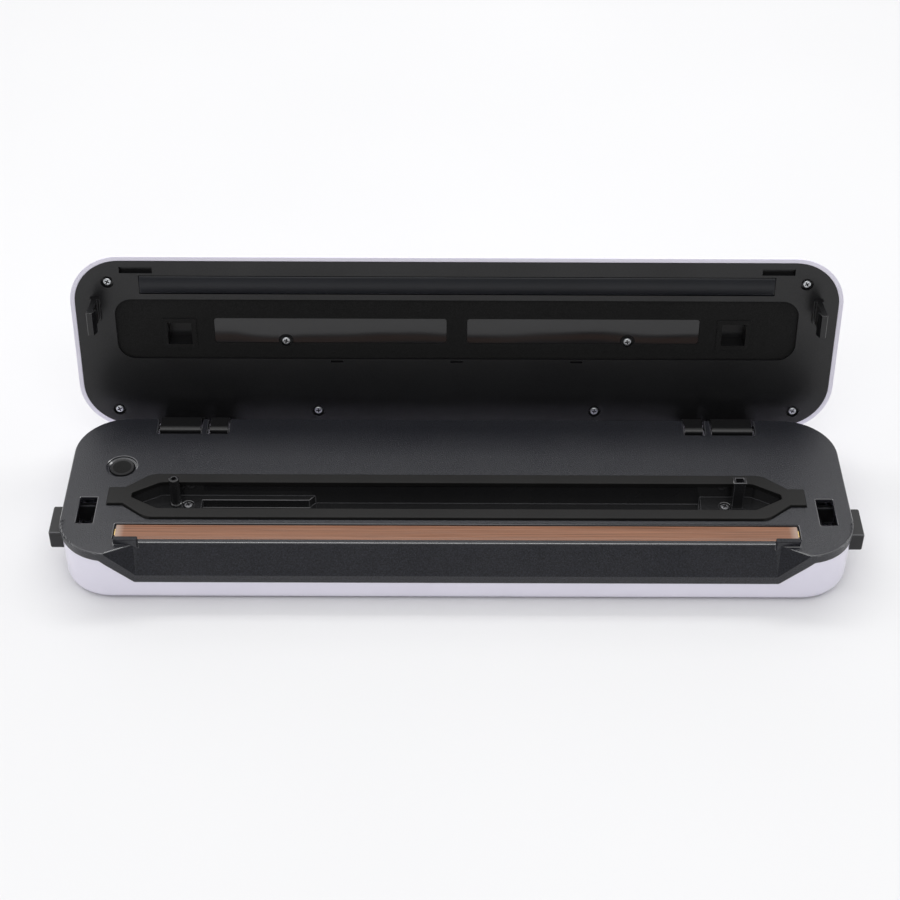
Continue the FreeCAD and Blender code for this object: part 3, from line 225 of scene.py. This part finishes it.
# A row holds the dark and the light colour, the roughness range, the grains a metre and their depth in
# millimetres, then the specular level and the coat where they aren't the usual ones.
SPARKED = {
    "deck_black": ((0.003, 0.0034, 0.005), (0.025, 0.026, 0.036), (0.28, 0.40), 1600, 0.26),
    "liner_black": ((0.0035, 0.0035, 0.004), (0.009, 0.009, 0.010), (0.285, 0.35), 1500, 0.03),
    "recess_black": ((0.005, 0.005, 0.005), (0.011, 0.011, 0.011), (0.60, 0.72), 1500, 0.15, 0.2),
    # The facet finish is a darker, duller copy of deck_black: painted shade on the end facets, also used for
    # the fins.
    "facet_shade_and_fin_black": ((0.003, 0.0034, 0.005), (0.018, 0.019, 0.027), (0.42, 0.52), 1600, 0.2, 0.3),
}
MOULDED = {
    "shell_white": ((0.83, 0.805, 0.92), (0.86, 0.835, 0.95), (0.20, 0.26), 900, 0.003),
    # The deck, liner and trough edge finishes are lighter, glossier copies of the finishes beside them:
    # painted highlights on rounded edges.
    "deck_edge_highlight": ((0.030, 0.031, 0.036), (0.042, 0.043, 0.050), (0.16, 0.22), 900, 0.01, 1.0, 1.0),
    "liner_edge_highlight": ((0.012, 0.012, 0.013), (0.018, 0.018, 0.020), (0.15, 0.22), 900, 0.01),
    "trough_edge_highlight": ((0.050, 0.050, 0.054), (0.070, 0.070, 0.074), (0.10, 0.14), 700, 0.01, 1.0, 1.0),
    # The flank finish is darker than gasket_rubber: painted shade on the gasket's sloping flank.
    "gasket_flank_shade": ((0.003, 0.003, 0.003), (0.005, 0.005, 0.005), (0.60, 0.70), 1800, 0.02, 0.1),
    "trough_black": ((0.013, 0.013, 0.014), (0.018, 0.018, 0.019), (0.10, 0.18), 700, 0.01),
    "trim_black": ((0.009, 0.009, 0.010), (0.013, 0.013, 0.014), (0.36, 0.48), 1500, 0.02, 0.4),
    "gasket_rubber": ((0.006, 0.0057, 0.0056), (0.009, 0.0086, 0.0084), (0.46, 0.56), 1800, 0.02, 0.25),
    "strip_rubber": ((0.007, 0.008, 0.011), (0.010, 0.011, 0.015), (0.34, 0.42), 1800, 0.02, 0.4),
    "foot_rubber": ((0.012, 0.012, 0.012), (0.018, 0.018, 0.018), (0.65, 0.8), 1800, 0.04),
    "screw_zinc": ((0.62, 0.64, 0.66), (0.72, 0.74, 0.76), (0.29, 0.38), 2500, 0.01),
    # This is the zinc darkened: painted shade for the screws down in the trough.
    "screw_zinc_shaded": ((0.16, 0.16, 0.17), (0.24, 0.24, 0.25), (0.45, 0.60), 2500, 0.01),
    # The dark finish inside the screw cross: painted shade in the recess.
    "screw_cross_shade": ((0.02, 0.02, 0.022), (0.04, 0.04, 0.044), (0.5, 0.6), 2500, 0.01),
    "steel": ((0.5, 0.5, 0.51), (0.6, 0.6, 0.61), (0.25, 0.4), 2500, 0.01),
    "brass_clip": ((0.6, 0.42, 0.16), (0.7, 0.5, 0.2), (0.25, 0.4), 2500, 0.01),
    "motor_can": ((0.5, 0.5, 0.51), (0.6, 0.6, 0.61), (0.25, 0.4), 2500, 0.01),
    "pump_plastic": ((0.05, 0.05, 0.055), (0.07, 0.07, 0.075), (0.4, 0.5), 1500, 0.02),
    "hose_silicone": ((0.6, 0.6, 0.58), (0.7, 0.7, 0.68), (0.3, 0.4), 1500, 0.01),
    "board_green": ((0.02, 0.14, 0.05), (0.03, 0.18, 0.07), (0.35, 0.5), 1500, 0.01),
    "key_white": ((0.76, 0.74, 0.85), (0.80, 0.78, 0.88), (0.29, 0.36), 1500, 0.01),
    "indicator_clear": ((0.6, 0.7, 0.72), (0.7, 0.8, 0.82), (0.1, 0.2), 900, 0.01),
}
MATERIALS = {name: sparked(name, *row) for name, row in SPARKED.items()}
MATERIALS.update((name, moulded(name, *row)) for name, row in MOULDED.items())
MATERIALS["tape_brown"] = glass_cloth("tape_brown")
MATERIALS["smoked_window"] = smoked_sheet("smoked_window")
for metal in ("screw_zinc", "screw_zinc_shaded", "steel", "brass_clip", "motor_can"):
    MATERIALS[metal].node_tree.nodes["Principled BSDF"].inputs["Metallic"].default_value = 1.0

# ---------------------------------------------------------------- modelling helpers
BODY_OF = {node: body for body, names in frame["record"]["behaviour"]["bodies"].items() for node in names}
SLOT_OF = {name: node.material_slots[0].material.name.split(".")[0] for name, node in NODES.items()}
for name, node in NODES.items():
    node.material_slots[0].material = MATERIALS[SLOT_OF[name]]
LID_HINGE = next(j for j in frame["record"]["behaviour"]["joints"] if j["name"] == "lid_hinge")
HINGE = Vector(LID_HINGE["pos_m"])
LID_TURN = Matrix.Translation(HINGE) @ Matrix.Rotation(-math.radians(LID_HINGE["range_deg"][1]), 4, "X") \
    @ Matrix.Translation(-HINGE)


def pick(*pieces):
    """Selects these pieces only; the last one is the active one."""
    bpy.ops.object.select_all(action="DESELECT")
    for piece in pieces:
        piece.select_set(True)
    bpy.context.view_layer.objects.active = pieces[-1]


def choose(piece, test):
    """Goes into edit mode with only the faces that pass the test selected."""
    pick(piece)
    bpy.ops.object.mode_set(mode="EDIT")
    bpy.ops.mesh.select_mode(type="FACE")
    bpy.ops.mesh.select_all(action="DESELECT")
    bpy.ops.object.mode_set(mode="OBJECT")
    for face in piece.data.polygons:
        face.select = test(face)
    bpy.ops.object.mode_set(mode="EDIT")


def leave():
    """Goes back from edit mode to object mode."""
    bpy.ops.object.mode_set(mode="OBJECT")


def apply_modifier(piece, kind, **settings):
    """Adds a modifier with these settings and puts its result into the mesh."""
    pick(piece)
    modifier = piece.modifiers.new(kind.lower(), kind)
    for key, value in settings.items():
        setattr(modifier, key, value)
    bpy.ops.object.modifier_apply(modifier=modifier.name)


def smooth(piece, angle):
    """Shades smoothly over edges of up to so many degrees."""
    pick(piece)
    bpy.ops.object.shade_smooth_by_angle(angle=math.radians(angle))


def settle(piece, turn=None):
    """Puts a piece's place into its mesh, turning it with the open lid first if asked."""
    if turn:
        piece.matrix_world = turn @ piece.matrix_world
    pick(piece)
    bpy.ops.object.transform_apply(location=True, rotation=True, scale=True)


def finish_as(piece, *finishes):
    """Gives the piece these finishes, in this order."""
    piece.data.materials.clear()
    for finish in finishes:
        piece.data.materials.append(MATERIALS[finish])


def stand_for(piece, node):
    """The piece takes the node's place: its body and its room."""
    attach(piece, BODY_OF[node])
    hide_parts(node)


def copy_of(node, name):
    """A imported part's mesh as a new piece."""
    piece = bpy.data.objects.new(name, NODES[node].data.copy())
    bpy.context.scene.collection.objects.link(piece)
    return piece


def merged_copy(node, name):
    """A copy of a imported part, merged, with its flat faces whole again."""
    piece = copy_of(node, name)
    pick(piece)
    if piece.data.has_custom_normals:
        bpy.ops.mesh.customdata_custom_splitnormals_clear()
    bpy.ops.object.mode_set(mode="EDIT")
    bpy.ops.mesh.select_all(action="SELECT")
    bpy.ops.mesh.remove_doubles(threshold=MERGE_GAP)
    bpy.ops.mesh.dissolve_limited(angle_limit=math.radians(FLAT_ANGLE), use_dissolve_boundaries=False)
    leave()
    return piece


# The painted highlight on a rounded edge: a lighter, glossier copy of the finish of the faces beside it.
EDGES = {"deck_black": "deck_edge_highlight", "liner_black": "liner_edge_highlight", "trough_black": "trough_edge_highlight",
         "trim_black": "deck_edge_highlight"}


def round_over(piece, width):
    """Rounds the sharp edges, as moulding leaves them; the rounded faces take the second finish, which for
    the dark parts is a lighter copy: a painted highlight.
    """
    apply_modifier(piece, "BEVEL", limit_method="ANGLE", angle_limit=math.radians(EDGE_ANGLE),
                   width=width * MM, segments=EDGE_STEPS, use_clamp_overlap=False, loop_slide=False,
                   miter_outer="MITER_ARC", material=1)
    smooth(piece, SOFT_ANGLE)
    apply_modifier(piece, "WEIGHTED_NORMAL", weight=100, keep_sharp=True)


def softened(node, width):
    """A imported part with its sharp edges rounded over."""
    piece = merged_copy(node, node + "_finished")
    finish_as(piece, SLOT_OF[node], EDGES.get(SLOT_OF[node], SLOT_OF[node]))
    round_over(piece, width)
    low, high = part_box(node)
    for vertex in piece.data.vertices:
        vertex.co = [min(max(c, a), b) for c, a, b in zip(vertex.co, low, high)]
    stand_for(piece, node)
    return piece


def close_copy(node):
    """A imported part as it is, for parts that only need a second finish."""
    piece = copy_of(node, node + "_finished")
    finish_as(piece, SLOT_OF[node], EDGES[SLOT_OF[node]])
    stand_for(piece, node)
    return piece


def screw_seats(node, turn=None):
    """Each screw of a packed set: its axis's X and Y, its lowest and highest Z, and its head's radius."""
    spare = merged_copy(node, "seats")
    if turn:
        spare.data.transform(turn.inverted())
    pick(spare)
    bpy.ops.object.mode_set(mode="EDIT")
    bpy.ops.mesh.select_all(action="SELECT")
    bpy.ops.mesh.separate(type="LOOSE")
    leave()
    seats = []
    for part in list(bpy.context.selected_objects):
        xs, ys, zs = zip(*(tuple(v.co) for v in part.data.vertices))
        middle = ((min(xs) + max(xs)) / 2, (min(ys) + max(ys)) / 2)
        seats.append((*middle, min(zs), max(zs), (max(xs) - min(xs)) / 2))
        bpy.data.objects.remove(part)
    return seats


# ---------------------------------------------------------------- pieces
def make_screw(name, radius, height):
    """A pan head screw, head up and centred on the origin, with a cross pressed into it."""
    bpy.ops.object.select_all(action="DESELECT")
    bpy.ops.mesh.primitive_cylinder_add(vertices=40, radius=radius, depth=height,
                                        location=(0, 0, -height / 2))
    screw = bpy.context.object
    screw.name = name
    settle(screw)
    choose(screw, lambda face: face.normal.z > 0.9)
    bpy.ops.mesh.bevel(offset=0.45 * height, segments=4, affect="EDGES")
    leave()
    for long, wide in ((CROSS_LONG, CROSS_WIDE), (CROSS_WIDE, CROSS_LONG)):
        bpy.ops.object.select_all(action="DESELECT")
        bpy.ops.mesh.primitive_cube_add(size=1, location=(0, 0, 0),
                                        scale=(long * radius, wide * radius, CROSS_DEEP * height))
        blade = bpy.context.object
        settle(blade)
        apply_modifier(screw, "BOOLEAN", operation="DIFFERENCE", object=blade, solver="EXACT")
        bpy.data.objects.remove(blade)
    smooth(screw, 40)
    # The faces inside the cross take the second, dark finish: painted shade in the recess.
    finish_as(screw, "screw_zinc", "screw_cross_shade")
    for face in screw.data.polygons:
        within = max(abs(face.center.x), abs(face.center.y)) < 0.64 * radius
        if within and -0.95 * height < face.center.z < -0.06 * height:
            face.material_index = 1
    return screw


def screw_set(node, turn=None, shank_up=False, finish="screw_zinc"):
    """One copy of the screw at each seat, joined into one piece."""
    seats = screw_seats(node, turn)
    radius = HEAD_SHARE * seats[0][4]
    model = make_screw(node + "_model", radius, HEAD_HEIGHT * radius)
    model.data.materials[0] = MATERIALS[finish]
    heads = []
    for x, y, low, high, _ in seats:
        head = model.copy()
        head.data = model.data.copy()
        bpy.context.scene.collection.objects.link(head)
        seat = Matrix.Translation((x, y, high))
        if shank_up:
            seat = Matrix.Translation((x, y, low)) @ Matrix.Rotation(math.pi, 4, "X")
        head.matrix_world = seat @ Matrix.Rotation(SCREW_TWIST * x / MM, 4, "Z")
        settle(head, turn)
        heads.append(head)
    bpy.data.objects.remove(model)
    pick(*heads)
    bpy.ops.object.join()
    piece = bpy.context.object
    piece.name = node + "_finished"
    stand_for(piece, node)


def make_tape():
    """The coated glass cloth over the heating wire, faintly creased, with its long edges turned down."""
    low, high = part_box("sealing_tape")
    bpy.ops.object.select_all(action="DESELECT")
    bpy.ops.mesh.primitive_grid_add(x_subdivisions=300, y_subdivisions=14, size=1,
                                    location=((low.x + high.x) / 2, SEAL_Y, high.z))
    tape = bpy.context.object
    tape.name = "sealing_tape_cloth"
    tape.scale = (high.x - low.x, high.y - low.y, 1)
    settle(tape)
    creases = bpy.data.textures.new("creases", "CLOUDS")
    creases.noise_scale = 1.0
    creases.noise_depth = 2
    guide = bpy.data.objects.new("crease_guide", None)
    bpy.context.scene.collection.objects.link(guide)
    guide.scale = CREASE_SIZE
    bpy.context.view_layer.update()
    apply_modifier(tape, "DISPLACE", texture=creases, texture_coords="OBJECT", texture_coords_object=guide,
                   strength=CREASE_DEPTH, mid_level=0.5)
    bpy.data.objects.remove(guide)
    choose(tape, lambda face: abs(face.center.y - SEAL_Y) > (high.y - low.y) / 2 - BORDER_WIDE)
    bpy.ops.transform.translate(value=(0, 0, -BORDER_DROP))
    leave()
    apply_modifier(tape, "SOLIDIFY", thickness=CLOTH_THICK, offset=-1)
    smooth(tape, 50)
    finish_as(tape, SLOT_OF["sealing_tape"])
    stand_for(tape, "sealing_tape")


def dull_middle(button):
    """The push button's dished middle is duller than its raised ring."""
    low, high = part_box("deck_button")
    middle = (low + high) / 2
    button.data.materials.append(MATERIALS["recess_black"])
    for face in button.data.polygons:
        reach = (face.center - middle).to_2d().length
        if face.normal.z > 0.7 and reach < BUTTON_DISH_R and face.center.z > high.z - BUTTON_DISH_DEEP:
            face.material_index = 2


def finish_deck(deck):
    """The rounded outer edge gets a painted highlight; the end facets get painted shade, darker and duller
    than the top, and the two fins take the same darker, duller finish.
    """
    deck.data.materials.append(MATERIALS["facet_shade_and_fin_black"])
    for face in deck.data.polygons:
        # Painted highlight: the rounded outer edge takes the lighter edge finish.
        if 0.25 < face.normal.z < 0.97 and face.center.z > DECK_TOP - DECK_EDGE_DEEP:
            face.material_index = 1
        # Painted shade: the end facets take a darker copy of the deck finish.
        if abs(face.normal.x) > 0.12 and face.normal.y < -0.3 and face.area > FACET_AREA:
            face.material_index = 2
        # The fins take the same darker, duller finish.
        if face.center.z > DECK_TOP + FIN_RISE:
            face.material_index = 2


def darken_recess(liner):
    """The sunk panel round the two windows has a duller, darker grain than the rest of the liner."""
    back = LID_TURN.inverted()
    liner.data.materials.append(MATERIALS["recess_black"])
    for face in liner.data.polygons:
        facing = back.to_3x3() @ face.normal
        depth = (back @ face.center).z - LINER_FACE_Z
        if facing.z < -0.9 and RECESS_LEVEL[0] < depth < RECESS_LEVEL[1]:
            face.material_index = 2


def shade_flank(gasket):
    """The sloping flank gets painted shade: darker and duller than the gasket's top."""
    gasket.data.materials.append(MATERIALS["gasket_flank_shade"])
    for face in gasket.data.polygons:
        if 0.1 < face.normal.z < 0.7 and face.area > FLANK_AREA:
            face.material_index = 2


def compress(node, axis):
    """A coil spring copied as it is in place of the imported one; where it is held and where it pushes are
    worked out but not used, so it is not pressed shorter.
    """
    piece = copy_of(node, node + "_finished")
    low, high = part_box(node)
    held, pushed = (low + high) / 2, (low + high) / 2
    outward = high[axis] > 0
    held[axis] = low[axis] if outward else high[axis]
    pushed[axis] = high[axis] if outward else low[axis]
    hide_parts(node)
    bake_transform(piece)


# Parts that only need rounded edges, with the width of the rounding in millimetres.
ROUNDED = {
    "lid_shell": 0.4, "vacuum_trough": 0.3, "heater_bar": 0.25, "release_button_left": 0.5,
    "release_button_right": 0.5, "latch_hook_left": 0.2, "latch_hook_right": 0.2, "vent_post": 0.2,
    "suction_nozzle": 0.15, "rubber_feet": 0.5, "seal_strip": 0.5, "key_left": 0.4, "key_middle": 0.4,
    "key_right": 0.4, "mains_inlet": 0.3, "inner_lens_left": 0.2, "inner_lens_right": 0.2, "top_window": 0.2,
}
for part, width in ROUNDED.items():
    softened(part, width)
dull_middle(softened("deck_button", 0.2))
darken_recess(close_copy("lid_liner"))
finish_deck(softened("deck_panel", 0.45))
shade_flank(softened("trough_gasket", 0.35))
compress("release_spring_left", 0)
compress("release_spring_right", 0)
compress("deck_button_spring", 2)
screw_set("lid_screws", LID_TURN, shank_up=True)
# The trough screws take the darkened zinc: painted shade.
screw_set("trough_screws", finish="screw_zinc_shaded")
make_tape()


# ---------------------------------------------------------------- camera, floor and light
CAMERA_PLACE = Vector((-6.529 * MM, SEAL_Y - 623.81 * MM, DECK_TOP + 604.13 * MM))
CAMERA_TURNS = (41.484, 0.284, 0.385)   # degrees down, to the right, and of roll
SENSOR_WIDE, LENS, LENS_SHIFT, NEAR = 36.0, 75.79, -0.0044, 0.01
FLOOR_R = 4.0
FLOOR_DARK, FLOOR_LIGHT = (0.77, 0.77, 0.78), (0.79, 0.79, 0.80)
SKY_STRENGTH = 1.04
SOFT_BOXES = {                          # place, size and power; both face the origin
    "softbox_front": ((0, -0.9, 1.3), (1.6, 0.5), 5.0),
    "softbox_back": ((0, 0.75, 1.45), (2.0, 0.30), 8.0),
}


def aim_camera():
    """The camera looks down at the seal line from in front."""
    down, yaw, roll = (math.radians(angle) for angle in CAMERA_TURNS)
    ahead = Vector((math.sin(yaw) * math.cos(down), math.cos(yaw) * math.cos(down), -math.sin(down)))
    right = ahead.cross(Vector((0, 0, 1))).normalized()
    up = right.cross(ahead)
    right, up = (math.cos(roll) * right + math.sin(roll) * up, math.cos(roll) * up - math.sin(roll) * right)
    data = bpy.data.cameras.new("camera")
    data.sensor_width = SENSOR_WIDE
    data.lens = LENS
    data.shift_y = LENS_SHIFT
    data.clip_start = NEAR
    camera = bpy.data.objects.new("camera", data)
    bpy.context.scene.collection.objects.link(camera)
    turn = Matrix((right, up, -ahead)).transposed().to_4x4()
    camera.matrix_world = Matrix.Translation(CAMERA_PLACE) @ turn
    bpy.context.scene.camera = camera


def lay_floor():
    """A round sheet of pale matt paper under the machine."""
    bpy.ops.object.select_all(action="DESELECT")
    bpy.ops.mesh.primitive_circle_add(vertices=96, radius=FLOOR_R, fill_type="NGON", location=(0, 0, 0))
    floor = bpy.context.object
    floor.name = "floor"
    material, tree, shader, where = new_material("floor_paper")
    soft = noise(tree, where, 3.0, 2.0)
    tree.links.new(tint(tree, soft, FLOOR_DARK, FLOOR_LIGHT), shader.inputs["Base Color"])
    shader.inputs["Roughness"].default_value = 0.9
    shader.inputs["Specular IOR Level"].default_value = 0.1
    floor.data.materials.append(material)


def soft_box(name, place, size, power):
    """A flat lamp that faces the origin."""
    data = bpy.data.lights.new(name, "AREA")
    data.shape = "RECTANGLE"
    data.size, data.size_y = size
    data.energy = power
    lamp = bpy.data.objects.new(name, data)
    bpy.context.scene.collection.objects.link(lamp)
    lamp.location = place
    lamp.rotation_euler = (-Vector(place)).to_track_quat("-Z", "Y").to_euler()


def light_studio():
    """A room that is dark in front, bright behind and above, and a little brighter to the left."""
    world = bpy.data.worlds.new("studio")
    world.use_nodes = True
    sky = world.node_tree.nodes["Background"]
    tree = world.node_tree
    place = tree.nodes.new("ShaderNodeTexCoord")
    split = tree.nodes.new("ShaderNodeSeparateXYZ")
    tree.links.new(place.outputs["Generated"], split.inputs["Vector"])
    behind = spread(tree, split.outputs["Y"], 0.22, 1.0, -0.55, 0.15)
    above = spread(tree, split.outputs["Z"], 0.0, 1.0, 0.42, 0.80)
    leftward = spread(tree, split.outputs["X"], 1.12, 0.88, -1.0, 1.0)
    glow = combine(tree, "MULTIPLY", combine(tree, "MAXIMUM", behind, above), leftward)
    tree.links.new(glow, sky.inputs["Color"])
    sky.inputs["Strength"].default_value = SKY_STRENGTH
    bpy.context.scene.world = world
    for name, settings in SOFT_BOXES.items():
        soft_box(name, *settings)


aim_camera()
lay_floor()
light_studio()
view = bpy.context.scene.view_settings
view.view_transform = "Standard"
view.look = "None"
